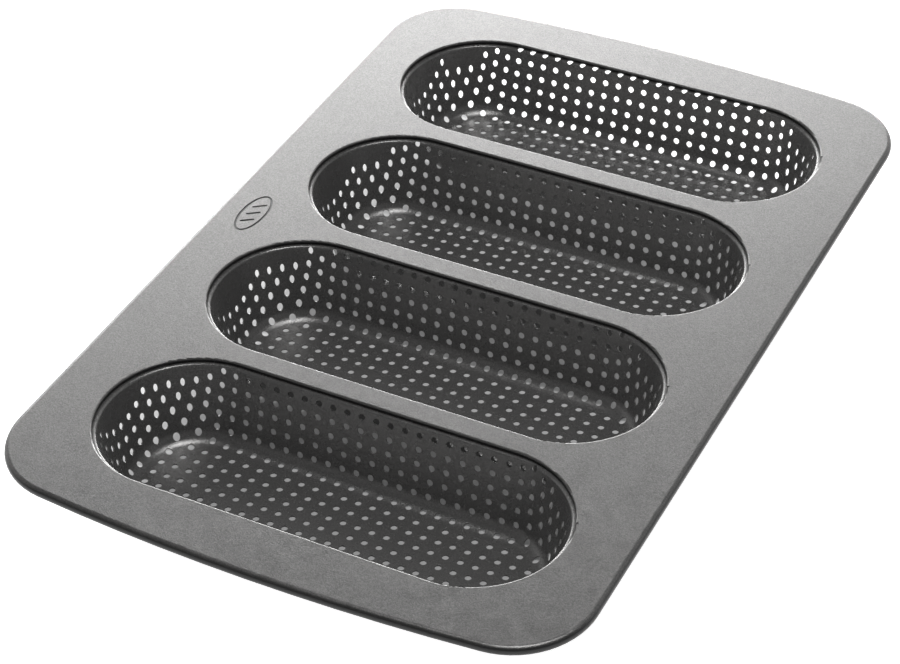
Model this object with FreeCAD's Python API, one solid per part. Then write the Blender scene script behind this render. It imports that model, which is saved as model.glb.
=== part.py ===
import FreeCAD, Part
import math
import os

# Four-well perforated baguette tray, in millimetres.
#
# The tray stands on the floors of its wells. The origin is the middle of its footprint, on the
# plane that it stands on: +X runs along the wells, +Y from the first well to the fourth, +Z up.
#
# Pieces: a steel deck with four openings and an edge rolled round a stiffening wire, the wire, and
# four drawn, perforated wells. A double seam holds each well in the deck: the deck's lip turns down
# and outwards, and the well's flange runs under it, folds up and hooks back over it.

V = FreeCAD.Vector
UP = V(0, 0, 1)
ORIGIN = V(0, 0, 0)

# Whole tray
overall_width = 252.0          # along X, over the rolled edge
overall_length = 394.0         # along Y, over the rolled edge, in the middle of the short sides
overall_height = 35.0          # standing plane to the deck's top
outer_corner_radius = 34.5
short_side_bow_radius = 982.0  # the short sides bow outwards a little

# Deck and its rolled edge
deck_sheet = 0.6
roll_radius = 2.2              # outside of the rolled edge
roll_wrap = 300.0              # degrees that the edge is rolled through
wire_clearance = 0.05
wire_butt_gap = 1.0            # between the wire's two ends

# Wells
well_count = 4
well_pitch = 88.0              # along Y
opening_length = 202.4         # opening in the deck, along X
opening_width = 77.6
well_sheet = 0.6
floor_half_width = 28.0        # where the wall, carried straight down, would meet the floor
floor_fillet = 7.0             # inside the well
wall_top_half_width = 37.4     # where the wall, carried straight up, would meet the ledge
shoulder_radius = 1.2          # ledge to wall

# Small notch across the edge of each opening, at its +X end
notch_length = 1.2
notch_width = 0.8
notch_depth = 0.35
notch_turn = 18.0              # degrees round the end, from +X towards +Y

# Double seam between a well and the deck
lip_depth = 2.0                # deck's top to the underside of its turned lip
lip_bend_radius = 0.8          # outside of each bend in the lip
lip_flat = 0.5                 # strip of the deck's top that belongs to the lip
lip_return = 3.0               # opening's edge to the edge of the lip's return flange
hook_clearance = 0.2           # from the return flange's edge to the hook
hook_width = 2.4               # how far the hook reaches back over the return flange
hook_fold_radius = 0.25        # inside of each fold in the hook

# Perforation, as punched in the flat blank
column_pitch = 6.5
row_pitch = 6.35
hole_diameter = 2.8
blank_half_length = 110.0      # no holes past here, so the tops of the end walls stay plain
highest_hole = 61.3            # up the sheet from the well's middle; the top row meets the shoulder
end_margin = 8.0               # how much lower it is, halfway round a quarter of an end
punch_above = 0.5              # reach of the cutters above the well's inside
punch_below = 1.1
column_shift = (1.4, -1.3, -0.8, -3.1)   # of the column nearest to each well's middle
row_shift = (-0.4, 1.6, 0.2, -2.4)       # of the row nearest to it
quarter_stretch = 0.3          # extra length up the wall, halfway round a quarter of an end
end_spread = 0.6               # how far the sideways squeeze gathers there, from 0 to 1

# Emblem pressed into the deck: a plain loaf with three cuts
emblem_centre = (-109.5, -1.0)
emblem_length = 27.0           # along Y
emblem_width = 12.0
emblem_line = 1.1
emblem_depth = 0.25
emblem_cut_length = 6.4
emblem_cut_spacing = 5.6
emblem_cut_turn = 35.0         # degrees from the loaf's cross direction

# Worked out
deck_top = overall_height
deck_underside = deck_top - deck_sheet
flat_half_width = overall_width / 2 - roll_radius      # where the deck starts to roll over
flat_half_length = overall_length / 2 - roll_radius
flat_corner_radius = outer_corner_radius - roll_radius
flat_bow_radius = short_side_bow_radius - roll_radius
roll_axis_z = deck_top - roll_radius
cap_radius = opening_width / 2
cap_centre = opening_length / 2 - cap_radius      # the wells' round ends turn about x = +-cap_centre
ledge_z = deck_top - lip_depth
return_top_z = ledge_z + deck_sheet
wall_run = V(wall_top_half_width - floor_half_width, 0, ledge_z - well_sheet)   # floor to ledge
wall_turn = math.atan2(wall_run.z, wall_run.x)    # from the floor's direction to the wall's
fillet_reach = floor_fillet * math.tan(wall_turn / 2)
shoulder_reach = shoulder_radius * math.tan(wall_turn / 2)
floor_end = floor_half_width - fillet_reach       # distances along the sheet from the well's middle
fillet_end = floor_end + floor_fillet * wall_turn
wall_end = fillet_end + wall_run.Length - fillet_reach - shoulder_reach
ledge_start = wall_top_half_width + shoulder_reach


def polar(radius, degrees, centre):
    """Point in the XZ plane, turned from +X towards +Z about the centre."""
    turn = math.radians(degrees)
    return V(centre.x + radius * math.cos(turn), 0, centre.z + radius * math.sin(turn))


def rounded_path(points, radii):
    """Edges of an open path in the XZ plane, with one radius for each inner corner."""
    vectors = [V(u, 0, z) for u, z in points]
    edges = []
    start = vectors[0]
    for corner, radius, before, after in zip(vectors[1:-1], radii, vectors, vectors[2:]):
        back = (before - corner).normalize()
        ahead = (after - corner).normalize()
        turn = math.pi - back.getAngle(ahead)
        reach = radius * math.tan(turn / 2)
        centre = corner + (back + ahead).normalize() * (radius / math.cos(turn / 2))
        first = corner + back * reach
        last = corner + ahead * reach
        middle = centre + (corner - centre).normalize() * radius
        edges.append(Part.LineSegment(start, first).toShape())
        edges.append(Part.Arc(first, middle, last).toShape())
        start = last
    edges.append(Part.LineSegment(start, vectors[-1]).toShape())
    return edges


def sheet_section(edges, thickness):
    """Face of bent sheet in the XZ plane, whose one side follows the edges."""
    return Part.Wire(edges).makeOffset2D(-thickness, 0, True, True, False)


def union(solids):
    """One solid from solids that meet face to face."""
    return solids[0].multiFuse(solids[1:]).removeSplitter()


def around_well(section):
    """Carry a section round a well's outline. Its x is the distance from the well's middle line."""
    axis = V(cap_centre, 0, 0)
    at_cap = section.translated(axis)
    at_cap.rotate(axis, UP, -90)
    side = at_cap.extrude(V(-2 * cap_centre, 0, 0))
    cap = at_cap.revolve(axis, UP, 180)
    half = [side, cap]
    other_half = [solid.rotated(ORIGIN, UP, 180) for solid in half]
    return union(half + other_half)


def edge_stretches():
    """The deck's flat outline, from the middle of the +X side round a quarter of it and back.

    Each stretch is (start, end, centre), and the centre is None where the stretch is straight.
    """
    corner_x = flat_half_width - flat_corner_radius
    bow_y = flat_half_length - flat_bow_radius
    corner_y = bow_y + math.sqrt((flat_bow_radius - flat_corner_radius) ** 2 - corner_x ** 2)
    along_bow = V(corner_x, corner_y - bow_y, 0).normalize()
    side_end = V(flat_half_width, corner_y, 0)
    bow_start = V(0, bow_y, 0) + along_bow * flat_bow_radius
    bow_end = V(-bow_start.x, bow_start.y, 0)
    other_side_start = V(-flat_half_width, corner_y, 0)
    half = [
        (V(flat_half_width, -corner_y, 0), side_end, None),
        (side_end, bow_start, V(corner_x, corner_y, 0)),
        (bow_start, bow_end, V(0, bow_y, 0)),
        (bow_end, other_side_start, V(-corner_x, corner_y, 0)),
    ]
    return half + [(-start, -end, None if centre is None else -centre) for start, end, centre in half]


def stretch_edge(start, end, centre):
    """The stretch as one edge."""
    if centre is None:
        return Part.LineSegment(start, end).toShape()
    middle = centre + ((start + end) / 2 - centre).normalize() * (start - centre).Length
    return Part.Arc(start, middle, end).toShape()


def along_deck_edge(section):
    """Carry a section round the deck's flat outline. Its x is the distance outside the outline."""
    solids = []
    for start, end, centre in edge_stretches():
        outwards = (start - centre) if centre is not None else V(end.y - start.y, start.x - end.x, 0)
        facing = math.degrees(math.atan2(outwards.y, outwards.x))
        placed = section.rotated(ORIGIN, UP, facing).translated(start)
        if centre is None:
            solids.append(placed.extrude(end - start))
        else:
            turn = math.degrees((start - centre).getAngle(end - centre))
            solids.append(placed.revolve(centre, UP, turn))
    return union(solids)


def roll_section():
    """Sheet rolled from the deck's top, outwards and round below it."""
    axis = V(0, 0, roll_axis_z)
    outer, inner = roll_radius, roll_radius - deck_sheet
    top, half, end = 90, 90 - roll_wrap / 2, 90 - roll_wrap
    return Part.Face(Part.Wire([
        Part.Arc(*(polar(outer, turn, axis) for turn in (top, half, end))).toShape(),
        Part.LineSegment(polar(outer, end, axis), polar(inner, end, axis)).toShape(),
        Part.Arc(*(polar(inner, turn, axis) for turn in (end, half, top))).toShape(),
        Part.LineSegment(polar(inner, top, axis), polar(outer, top, axis)).toShape(),
    ]))


def stadium(half_width, z):
    """Face with the wells' outline and this half width."""
    right, left = cap_centre, -cap_centre
    near_left, near_right = V(left, -half_width, z), V(right, -half_width, z)
    far_left, far_right = V(left, half_width, z), V(right, half_width, z)
    return Part.Face(Part.Wire([
        Part.LineSegment(near_left, near_right).toShape(),
        Part.Arc(near_right, V(right + half_width, 0, z), far_right).toShape(),
        Part.LineSegment(far_right, far_left).toShape(),
        Part.Arc(far_left, V(left - half_width, 0, z), near_left).toShape(),
    ]))


def well_centre(number):
    """Middle of a well, counted from 0 on the -Y side."""
    return V(0, (number - (well_count - 1) / 2) * well_pitch, 0)


def emblem_grooves():
    """Loaf outline and three slanting cuts, as the solids to press out of the deck."""
    middle = V(emblem_centre[0], emblem_centre[1], deck_top - emblem_depth)
    across, along = V(1, 0, 0), V(0, 1, 0)

    def loaf(inset):
        long_half, short_half = emblem_length / 2 - inset, emblem_width / 2 - inset
        outline = Part.Ellipse(middle + along * long_half, middle + across * short_half, middle)
        return Part.Face(Part.Wire(outline.toShape())).extrude(UP * deck_sheet)

    def cut(step):
        corner = V(-emblem_cut_length / 2, -emblem_line / 2, 0)
        bar = Part.makeBox(emblem_cut_length, emblem_line, deck_sheet, corner)
        bar.rotate(ORIGIN, UP, emblem_cut_turn)
        return bar.translated(middle + along * (step * emblem_cut_spacing))

    return [loaf(0).cut(loaf(emblem_line))] + [cut(step) for step in (-1, 0, 1)]


def edge_notch():
    """Notch at one opening's edge, as the solid to cut out, for a well in the middle of the tray."""
    corner = V(cap_radius, -notch_width / 2, deck_top - notch_depth)
    notch = Part.makeBox(notch_length, notch_width, deck_sheet, corner)
    return notch.rotated(ORIGIN, UP, notch_turn).translated(V(cap_centre, 0, 0))


def make_deck():
    """Flat sheet with its rolled edge, four openings with turned lips, notches and the emblem."""
    outline = Part.Wire([stretch_edge(*stretch) for stretch in edge_stretches()])
    plate = Part.Face(outline).translated(V(0, 0, deck_underside)).extrude(UP * deck_sheet)
    opening_top = cap_radius + lip_bend_radius + lip_flat
    lip_points = [
        (cap_radius + lip_return, ledge_z),
        (cap_radius, ledge_z),
        (cap_radius, deck_top),
        (opening_top, deck_top),
    ]
    lip_path = rounded_path(lip_points, [lip_bend_radius, lip_bend_radius])
    lip = around_well(sheet_section(lip_path, deck_sheet))
    hole = stadium(opening_top, deck_underside).extrude(UP * deck_sheet)
    centres = [well_centre(number) for number in range(well_count)]
    plate = plate.cut([hole.translated(centre) for centre in centres])
    lips = [lip.translated(centre) for centre in centres]
    notches = [edge_notch().translated(centre) for centre in centres]
    whole = union([plate, along_deck_edge(roll_section())] + lips)
    return whole.cut(emblem_grooves() + notches)


def make_rim_wire():
    """Round wire inside the rolled edge, with its ends butted at the middle of the +Y side."""
    radius = roll_radius - deck_sheet - wire_clearance
    circle = Part.Circle(V(0, 0, roll_axis_z), V(0, 1, 0), radius).toShape()
    ring = along_deck_edge(Part.Face(Part.Wire(circle)))
    side = 2 * roll_radius
    corner = V(-wire_butt_gap / 2, flat_half_length - side / 2, roll_axis_z - side / 2)
    return ring.cut(Part.makeBox(wire_butt_gap, side, side, corner))


def well_section():
    """Floor, fillet, leaning wall, ledge, fold and hook, from the well's middle line outwards."""
    fold_u = cap_radius + lip_return + hook_clearance + hook_fold_radius
    points = [
        (0, well_sheet),
        (floor_half_width, well_sheet),
        (wall_top_half_width, ledge_z),
        (fold_u, ledge_z),
        (fold_u, return_top_z),
        (fold_u - hook_width, return_top_z),
    ]
    radii = [floor_fillet, shoulder_radius, hook_fold_radius, hook_fold_radius]
    return sheet_section(rounded_path(points, radii), well_sheet)


def inside_of_section(distance):
    """Half width, height and lean of the well's inside, this far from its middle along the sheet."""
    if distance < floor_end:
        return distance, well_sheet, 0
    if distance < fillet_end:
        turned = (distance - floor_end) / floor_fillet
        half_width = floor_end + floor_fillet * math.sin(turned)
        return half_width, well_sheet + floor_fillet * (1 - math.cos(turned)), turned
    if distance < wall_end:
        up_wall = distance - fillet_end + fillet_reach
        half_width = floor_half_width + up_wall * math.cos(wall_turn)
        return half_width, well_sheet + up_wall * math.sin(wall_turn), wall_turn
    lean = max(wall_turn - (distance - wall_end) / shoulder_radius, 0)
    along_ledge = max(distance - wall_end - shoulder_radius * wall_turn, 0)
    half_width = ledge_start + along_ledge - shoulder_radius * math.sin(lean)
    return half_width, ledge_z - shoulder_radius * (1 - math.cos(lean)), lean


def punch(centre, normal, up_sheet, half_length, half_width):
    """Cutter square to the sheet, this long up the sheet and this wide along it."""
    start = centre - normal * punch_below
    depth = punch_below + punch_above
    if half_length == half_width:
        return Part.makeCylinder(half_length, depth, start, normal)
    sideways = normal.cross(up_sheet)
    ellipse = Part.Ellipse(start + up_sheet * half_length, start + sideways * half_width, start)
    return Part.Face(Part.Wire(ellipse.toShape())).extrude(normal * depth)


def hole_cutter(x, y):
    """Cutter for the hole punched at (x, y) in the flat blank, or None above the highest hole.

    Drawing the well folds the blank up round the floor. Round the ends the wall is shorter than
    the blank was, so the holes there are squeezed sideways. Halfway round each quarter of an end
    the sheet also stretches up the wall.
    """
    past_cap = max(abs(x) - cap_centre, 0)
    blank_reach = math.hypot(past_cap, y)
    angle = math.atan2(abs(y), past_cap)
    on_end_wall = past_cap > 0 and blank_reach > floor_end
    halfway = math.sin(2 * angle) ** 2 if on_end_wall else 0
    stretch = 1 + quarter_stretch * halfway
    reach = min(blank_reach, floor_end) + max(blank_reach - floor_end, 0) * stretch
    if reach > highest_hole - end_margin * halfway:
        return None
    half_width, z, lean = inside_of_section(reach)
    squeeze = 1
    if on_end_wall:
        spread = end_spread * (blank_reach / half_width - 1)
        squeeze = half_width / blank_reach * (1 + spread * math.cos(4 * angle))
        angle += spread / 4 * math.sin(4 * angle)
    foot = V(math.copysign(min(abs(x), cap_centre), x), 0, 0)
    outwards = V(math.copysign(math.cos(angle), x), math.copysign(math.sin(angle), y), 0)
    normal = UP * math.cos(lean) - outwards * math.sin(lean)
    up_sheet = outwards * math.cos(lean) + UP * math.sin(lean)
    inside = foot + outwards * half_width + UP * z
    radius = hole_diameter / 2
    return punch(inside, normal, up_sheet, radius * stretch, radius * squeeze)


def grid_lines(pitch, shift, half_length):
    """Places of the punched rows or columns, out to the half length."""
    count = int(half_length // pitch) + 1
    places = [shift + step * pitch for step in range(-count, count + 1)]
    return [place for place in places if abs(place) < half_length]


def make_well(number):
    """Drawn well with its holes, where the well stands."""
    columns = grid_lines(column_pitch, column_shift[number], blank_half_length)
    rows = grid_lines(row_pitch, row_shift[number], highest_hole)
    cutters = [hole_cutter(x, y) for x in columns for y in rows]
    shell = around_well(well_section())
    return shell.cut([cutter for cutter in cutters if cutter]).translated(well_centre(number))


def export(name, shape):
    """Write one sub-part as a STEP file."""
    shape.exportStep(os.path.join("parts", name + ".step"))


os.makedirs("parts", exist_ok=True)
export("deck", make_deck())
export("rim_wire", make_rim_wire())
for number in range(well_count):
    export(f"well_{number + 1}", make_well(number))
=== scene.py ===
import bpy
import math
from mathutils import Matrix, Vector


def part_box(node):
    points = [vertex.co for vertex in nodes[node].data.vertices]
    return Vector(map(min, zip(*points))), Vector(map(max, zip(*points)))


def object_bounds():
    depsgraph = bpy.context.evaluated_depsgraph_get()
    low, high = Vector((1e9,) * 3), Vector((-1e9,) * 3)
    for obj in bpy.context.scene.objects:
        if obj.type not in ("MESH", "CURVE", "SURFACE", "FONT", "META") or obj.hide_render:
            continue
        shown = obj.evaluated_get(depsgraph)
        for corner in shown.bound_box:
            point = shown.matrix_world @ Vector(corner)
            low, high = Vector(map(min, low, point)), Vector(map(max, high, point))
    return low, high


# Four-well perforated baguette tray on a pale floor. Metres, Z up. +X runs along the wells, and +Y
# from the first well to the fourth.

MM = 0.001

# Coatings: base grey, metallic, roughness and depth of the grain
DECK_COATING = (0.125, 0.72, 0.35, 0.07 * MM)
WELL_COATING = (0.13, 0.5, 0.26, 0.08 * MM)
GRAIN_SCALE = 1700.0            # lumps to the metre
GRAIN_RANGE = (0.35, 0.65)      # the noise that runs from the dark specks to the light ones
GRAIN_GREYS = (0.74, 1.26)      # of the base grey, in the dark specks and in the light ones
GRAIN_WARMTHS = (0.01, 0.015)
CLOUD_SCALE = 22.0
CLOUD_GREYS = (0.93, 1.0)
GLOSS_SCALE = 180.0
GLOSS_CHANGES = (-0.04, 0.05)   # of the roughness
SOFT_RANGE = (0.3, 0.7)         # the noise that the clouds, the gloss and the wire's finish use

# The deck below its top, with painted shade: rolled edge, lips and the emblem's grooves
EDGE_PAINTED_SHADE = (0.3 * MM, 0.9 * MM)   # painted shade: the coating darkens between these depths
EDGE_PAINTED_SHADE_GREY = 0.03
EMBLEM_CENTRE = (-109.5 * MM, -1.0 * MM)
EMBLEM_HALF_SIZE = (7.0 * MM, 14.5 * MM)
EMBLEM_GROOVE = 0.12 * MM       # deeper than this counts as groove
GROOVE_PAINTED_SHADE_GREY = 0.04

# Stiffening wire
WIRE_GREYS = (0.45, 0.6)
WIRE_ROUGHNESS = (0.28, 0.4)
WIRE_FINISH_SCALE = 900.0
WIRE_FINISH_DEPTH = 0.01 * MM

# Floor, with a painted shadow under the tray that reaches past its left end. It brightens from the
# first to the second distance beyond the tray's outline.
FLOOR_SIZE = 12.0
FLOOR_DROP = 0.05 * MM
PAINTED_SHADOW_FADE = (-46.0 * MM, -34.0 * MM)
LEFT_PAINTED_SHADOW_FADE = (-50.0 * MM, 20.0 * MM)
FLOOR_GREYS = (0.80, 0.84)
FLOOR_SPECK_SCALE = 400.0
FLOOR_ROUGHNESS = 0.9
FLOOR_GLOW = 0.92
PAINTED_SHADOW_GREY = 0.36              # painted shadow under the tray
PAINTED_UNDER_TRAY_GLOWS = (0.0, 0.26)      # painted light glowing under the tray, at its -Y side and at its +Y side

# Softboxes: name, azimuth from -Y towards +X and elevation in degrees, distance, size and watts
SOFTBOXES = (
    ("back_left_softbox", 212, 20, 1.9, (1.6, 0.7), 33.0),
    ("low_back_strip", 205, 5, 1.9, (1.6, 0.12), 22.0),
    ("overhead_softbox", 70, 82, 1.6, (0.6, 0.45), 15.0),
)

# Surrounding light, as the product of two ramps: direction, where along it the ramp starts and ends,
# and the strength at each
HEIGHT_RAMP = ((0, 0, 1), 0.44, 0.71, 1.0, 0.12)
BACK_RAMP = ((-0.46, 0.89, 0), -0.2, 0.6, 0.3, 1.05)

# Camera, looking down across the near long side
CAMERA_LENS = 101.38            # mm, as is the sensor
SENSOR_WIDTH = 36.0
CAMERA_AZIMUTH = 27.63          # degrees from -Y towards +X
CAMERA_ELEVATION = 38.96
CAMERA_ROLL = -1.49
CAMERA_DISTANCE = 1042.2 * MM
CAMERA_CLIP = (0.01, 50.0)
TARGET_X = 5.5 * MM             # the camera looks at this place on the deck's top
TARGET_Y = -38.2 * MM

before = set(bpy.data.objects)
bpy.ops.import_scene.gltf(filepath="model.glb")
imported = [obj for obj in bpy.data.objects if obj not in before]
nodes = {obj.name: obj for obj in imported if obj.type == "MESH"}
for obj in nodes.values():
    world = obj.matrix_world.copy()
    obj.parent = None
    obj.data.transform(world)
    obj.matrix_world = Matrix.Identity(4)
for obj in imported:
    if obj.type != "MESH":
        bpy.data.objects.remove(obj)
cad_low, cad_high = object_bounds()
deck_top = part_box("deck")[1].z


# --- shader nodes -------------------------------------------------------------------------------

class Shader:
    """Thin layer over one material's node tree."""

    def __init__(self, name):
        self.material = bpy.data.materials.new(name)
        self.material.use_nodes = True
        self.tree = self.material.node_tree
        self.surface = self.tree.nodes["Principled BSDF"]

    def add(self, kind, values, **settings):
        """New node. Values go to its inputs: a socket gets linked, anything else gets set."""
        node = self.tree.nodes.new(kind)
        for name, value in settings.items():
            setattr(node, name, value)
        for key, value in values.items():
            self.put(node.inputs[key], value)
        return node

    def put(self, socket, value):
        """Link or set one input."""
        if isinstance(value, bpy.types.NodeSocket):
            self.tree.links.new(value, socket)
        else:
            socket.default_value = value

    def set(self, **values):
        """Inputs of the Principled shader, with underscores for spaces."""
        for name, value in values.items():
            self.put(self.surface.inputs[name.replace("_", " ")], value)

    def place(self):
        """Position on the object, in metres."""
        return self.add("ShaderNodeTexCoord", {}).outputs["Object"]

    def axes(self):
        """Position on the object, as outputs X, Y and Z."""
        return self.add("ShaderNodeSeparateXYZ", {0: self.place()}).outputs

    def noise(self, scale, detail=2.0, roughness=0.5):
        """Noise from 0 to 1, with this many lumps to the metre."""
        values = {"Vector": self.place(), "Scale": scale, "Detail": detail, "Roughness": roughness}
        return self.add("ShaderNodeTexNoise", values).outputs["Fac"]

    def math(self, operation, *values):
        """One maths node."""
        return self.add("ShaderNodeMath", dict(enumerate(values)), operation=operation).outputs[0]

    def spread(self, value, low, high, to_low=0.0, to_high=1.0):
        """Value from low..high spread over to_low..to_high, held at both ends."""
        values = {
            "Value": value,
            "From Min": low,
            "From Max": high,
            "To Min": to_low,
            "To Max": to_high,
        }
        return self.add("ShaderNodeMapRange", values, clamp=True).outputs["Result"]

    def blend(self, factor, first, second, mode="MIX"):
        """Mix of two colours."""
        node = self.add("ShaderNodeMix", {}, data_type="RGBA", blend_type=mode)
        self.put(node.inputs["Factor"], factor)
        colour_inputs = [socket for socket in node.inputs if socket.type == "RGBA"]
        self.put(colour_inputs[0], first)
        self.put(colour_inputs[1], second)
        return next(socket for socket in node.outputs if socket.type == "RGBA")

    def bump(self, height, distance):
        """Bump from a height, with this much depth in metres."""
        values = {"Height": height, "Distance": distance, "Strength": 1.0}
        return self.add("ShaderNodeBump", values).outputs["Normal"]


def grey(level, warmth=0.0):
    """Linear grey, a little warm for a positive warmth."""
    return (level * (1 + warmth), level, level * (1 - warmth), 1.0)


# --- materials ----------------------------------------------------------------------------------

def coating(name, base, metallic, roughness, grain_depth):
    """Satin non-stick coating: fine sparkle in the colour, pebbled bump and uneven gloss.

    Returns the shader, and the colour for the caller to use.
    """
    shader = Shader(name)
    grain = shader.noise(GRAIN_SCALE, detail=3.0, roughness=0.7)
    clouds = shader.noise(CLOUD_SCALE, detail=3.0)
    dark, light = (grey(base * of_base, warmth) for of_base, warmth in zip(GRAIN_GREYS, GRAIN_WARMTHS))
    fine = shader.blend(shader.spread(grain, *GRAIN_RANGE), dark, light)
    darkest, lightest = (grey(level) for level in CLOUD_GREYS)
    coarse = shader.blend(shader.spread(clouds, *SOFT_RANGE), darkest, lightest)
    gloss = shader.noise(GLOSS_SCALE, detail=4.0, roughness=0.6)
    smoothest, roughest = (roughness + change for change in GLOSS_CHANGES)
    shader.set(
        Metallic=metallic,
        Roughness=shader.spread(gloss, *SOFT_RANGE, smoothest, roughest),
        Normal=shader.bump(grain, grain_depth),
    )
    return shader, shader.blend(1.0, fine, coarse, mode="MULTIPLY")


def deck_material():
    """The deck's lighter coating, with painted shade on its rolled edge and lips and in the emblem's
    grooves.
    """
    shader, colour = coating("deck_coating", *DECK_COATING)
    place = shader.axes()
    depth = shader.math("SUBTRACT", deck_top, place["Z"])
    painted_shade_groove_mask = shader.math("GREATER_THAN", depth, EMBLEM_GROOVE)
    for axis, centre, half_size in zip("XY", EMBLEM_CENTRE, EMBLEM_HALF_SIZE):
        off_centre = shader.math("ABSOLUTE", shader.math("SUBTRACT", place[axis], centre))
        painted_shade_groove_mask = shader.math("MULTIPLY", painted_shade_groove_mask, shader.math("LESS_THAN", off_centre, half_size))
    # painted shade: the rolled edge and the lips darken with depth below the deck's top
    colour = shader.blend(shader.spread(depth, *EDGE_PAINTED_SHADE), colour, grey(EDGE_PAINTED_SHADE_GREY))
    # painted shade in the emblem's grooves
    shader.set(Base_Color=shader.blend(painted_shade_groove_mask, colour, grey(GROOVE_PAINTED_SHADE_GREY)))
    return shader.material


def well_material():
    """The wells' charcoal coating."""
    shader, colour = coating("well_coating", *WELL_COATING)
    shader.set(Base_Color=colour)
    return shader.material


def wire_material():
    """Drawn steel wire, with a fine uneven finish."""
    shader = Shader("wire_steel")
    finish = shader.noise(WIRE_FINISH_SCALE, detail=4.0)
    dark, light = (grey(level) for level in WIRE_GREYS)
    shader.set(
        Base_Color=shader.blend(finish, dark, light),
        Metallic=1.0,
        Roughness=shader.spread(finish, *SOFT_RANGE, *WIRE_ROUGHNESS),
        Normal=shader.bump(finish, WIRE_FINISH_DEPTH),
    )
    return shader.material


def paint(node, material):
    """Give a CAD node this material."""
    for slot in nodes[node].material_slots:
        slot.material = material


paint("deck", deck_material())
paint("rim_wire", wire_material())
well_coating = well_material()
for node in nodes:
    if node.startswith("well_"):
        paint(node, well_coating)


# --- stage --------------------------------------------------------------------------------------

def make_floor():
    """Pale floor, bright enough to read as white, with a painted shadow under the tray and painted
    light glowing under it.
    """
    bpy.ops.mesh.primitive_plane_add(size=FLOOR_SIZE, location=(0, 0, -FLOOR_DROP))
    floor = bpy.context.object
    floor.name = "floor"
    shader = Shader("floor_white_painted_shadow")
    place = shader.axes()
    beyond_right = shader.math("SUBTRACT", place["X"], cad_high.x)
    beyond_left = shader.math("SUBTRACT", cad_low.x, place["X"])
    beyond_ends = shader.math("SUBTRACT", shader.math("ABSOLUTE", place["Y"]), cad_high.y)
    beyond = shader.math("MAXIMUM", beyond_right, beyond_ends)
    # painted shadow: dark under the tray, fading out beyond its outline
    outside_painted_shadow = shader.math(
        "MAXIMUM",
        shader.spread(beyond, *PAINTED_SHADOW_FADE),
        shader.spread(beyond_left, *LEFT_PAINTED_SHADOW_FADE),
    )
    dark_speck, light_speck = (grey(level) for level in FLOOR_GREYS)
    pale = shader.blend(shader.noise(FLOOR_SPECK_SCALE), dark_speck, light_speck)
    # painted light under the tray, glowing more towards +Y
    front_painted_glow, back_painted_glow = (grey(level) for level in PAINTED_UNDER_TRAY_GLOWS)
    backwards = shader.spread(place["Y"], cad_low.y, cad_high.y)
    painted_under_tray_glow = shader.blend(backwards, front_painted_glow, back_painted_glow)
    shader.set(
        Base_Color=shader.blend(outside_painted_shadow, grey(PAINTED_SHADOW_GREY), pale),
        Roughness=FLOOR_ROUGHNESS,
        Emission_Color=shader.blend(outside_painted_shadow, painted_under_tray_glow, grey(FLOOR_GLOW)),
        Emission_Strength=1.0,
    )
    floor.data.materials.append(shader.material)


def area_light(name, azimuth, elevation, distance, size, power):
    """Rectangular soft light, turned to the middle of the tray's footprint."""
    data = bpy.data.lights.new(name, "AREA")
    data.shape = "RECTANGLE"
    data.size, data.size_y = size
    data.energy = power
    light = bpy.data.objects.new(name, data)
    bpy.context.scene.collection.objects.link(light)
    turn, rise = math.radians(azimuth), math.radians(elevation)
    across = distance * math.cos(rise)
    place = Vector((across * math.sin(turn), -across * math.cos(turn), distance * math.sin(rise)))
    light.location = place
    light.rotation_euler = (-place).to_track_quat("-Z", "Y").to_euler()


def make_world():
    """Soft surrounding light: bright low down behind the tray, dimmer overhead and in front."""
    world = bpy.data.worlds.new("studio")
    bpy.context.scene.world = world
    world.use_nodes = True
    tree = world.node_tree
    background = tree.nodes["Background"]
    background.inputs["Color"].default_value = (1.0, 1.0, 1.0, 1.0)
    coordinates = tree.nodes.new("ShaderNodeTexCoord")

    def ramp(direction, low, high, to_low, to_high):
        along = tree.nodes.new("ShaderNodeVectorMath")
        along.operation = "DOT_PRODUCT"
        along.inputs[1].default_value = direction
        tree.links.new(coordinates.outputs["Generated"], along.inputs[0])
        spread = tree.nodes.new("ShaderNodeMapRange")
        spread.inputs["From Min"].default_value = low
        spread.inputs["From Max"].default_value = high
        spread.inputs["To Min"].default_value = to_low
        spread.inputs["To Max"].default_value = to_high
        tree.links.new(along.outputs["Value"], spread.inputs["Value"])
        return spread.outputs["Result"]

    strength = tree.nodes.new("ShaderNodeMath")
    strength.operation = "MULTIPLY"
    tree.links.new(ramp(*HEIGHT_RAMP), strength.inputs[0])
    tree.links.new(ramp(*BACK_RAMP), strength.inputs[1])
    tree.links.new(strength.outputs[0], background.inputs["Strength"])


def make_camera():
    """Camera at its angle and distance from the target, with no shift and no depth of field."""
    data = bpy.data.cameras.new("camera")
    data.lens = CAMERA_LENS
    data.sensor_width = SENSOR_WIDTH
    data.sensor_fit = "HORIZONTAL"
    data.clip_start, data.clip_end = CAMERA_CLIP
    camera = bpy.data.objects.new("camera", data)
    bpy.context.scene.collection.objects.link(camera)
    angles = (CAMERA_AZIMUTH, CAMERA_ELEVATION, CAMERA_ROLL)
    turn, rise, roll = (math.radians(angle) for angle in angles)
    across = math.cos(rise)
    back = Vector((math.sin(turn) * across, -math.cos(turn) * across, math.sin(rise)))
    right = (-back).cross(Vector((0, 0, 1))).normalized()
    up = right.cross(-back)
    rolled_right = right * math.cos(roll) + up * math.sin(roll)
    rolled_up = up * math.cos(roll) - right * math.sin(roll)
    place = Vector((TARGET_X, TARGET_Y, deck_top)) + back * CAMERA_DISTANCE
    facing = Matrix((rolled_right, rolled_up, back)).transposed().to_4x4()
    camera.matrix_world = Matrix.Translation(place) @ facing
    bpy.context.scene.camera = camera


make_floor()
make_world()
for softbox in SOFTBOXES:
    area_light(*softbox)
make_camera()
bpy.context.scene.view_settings.view_transform = "Standard"
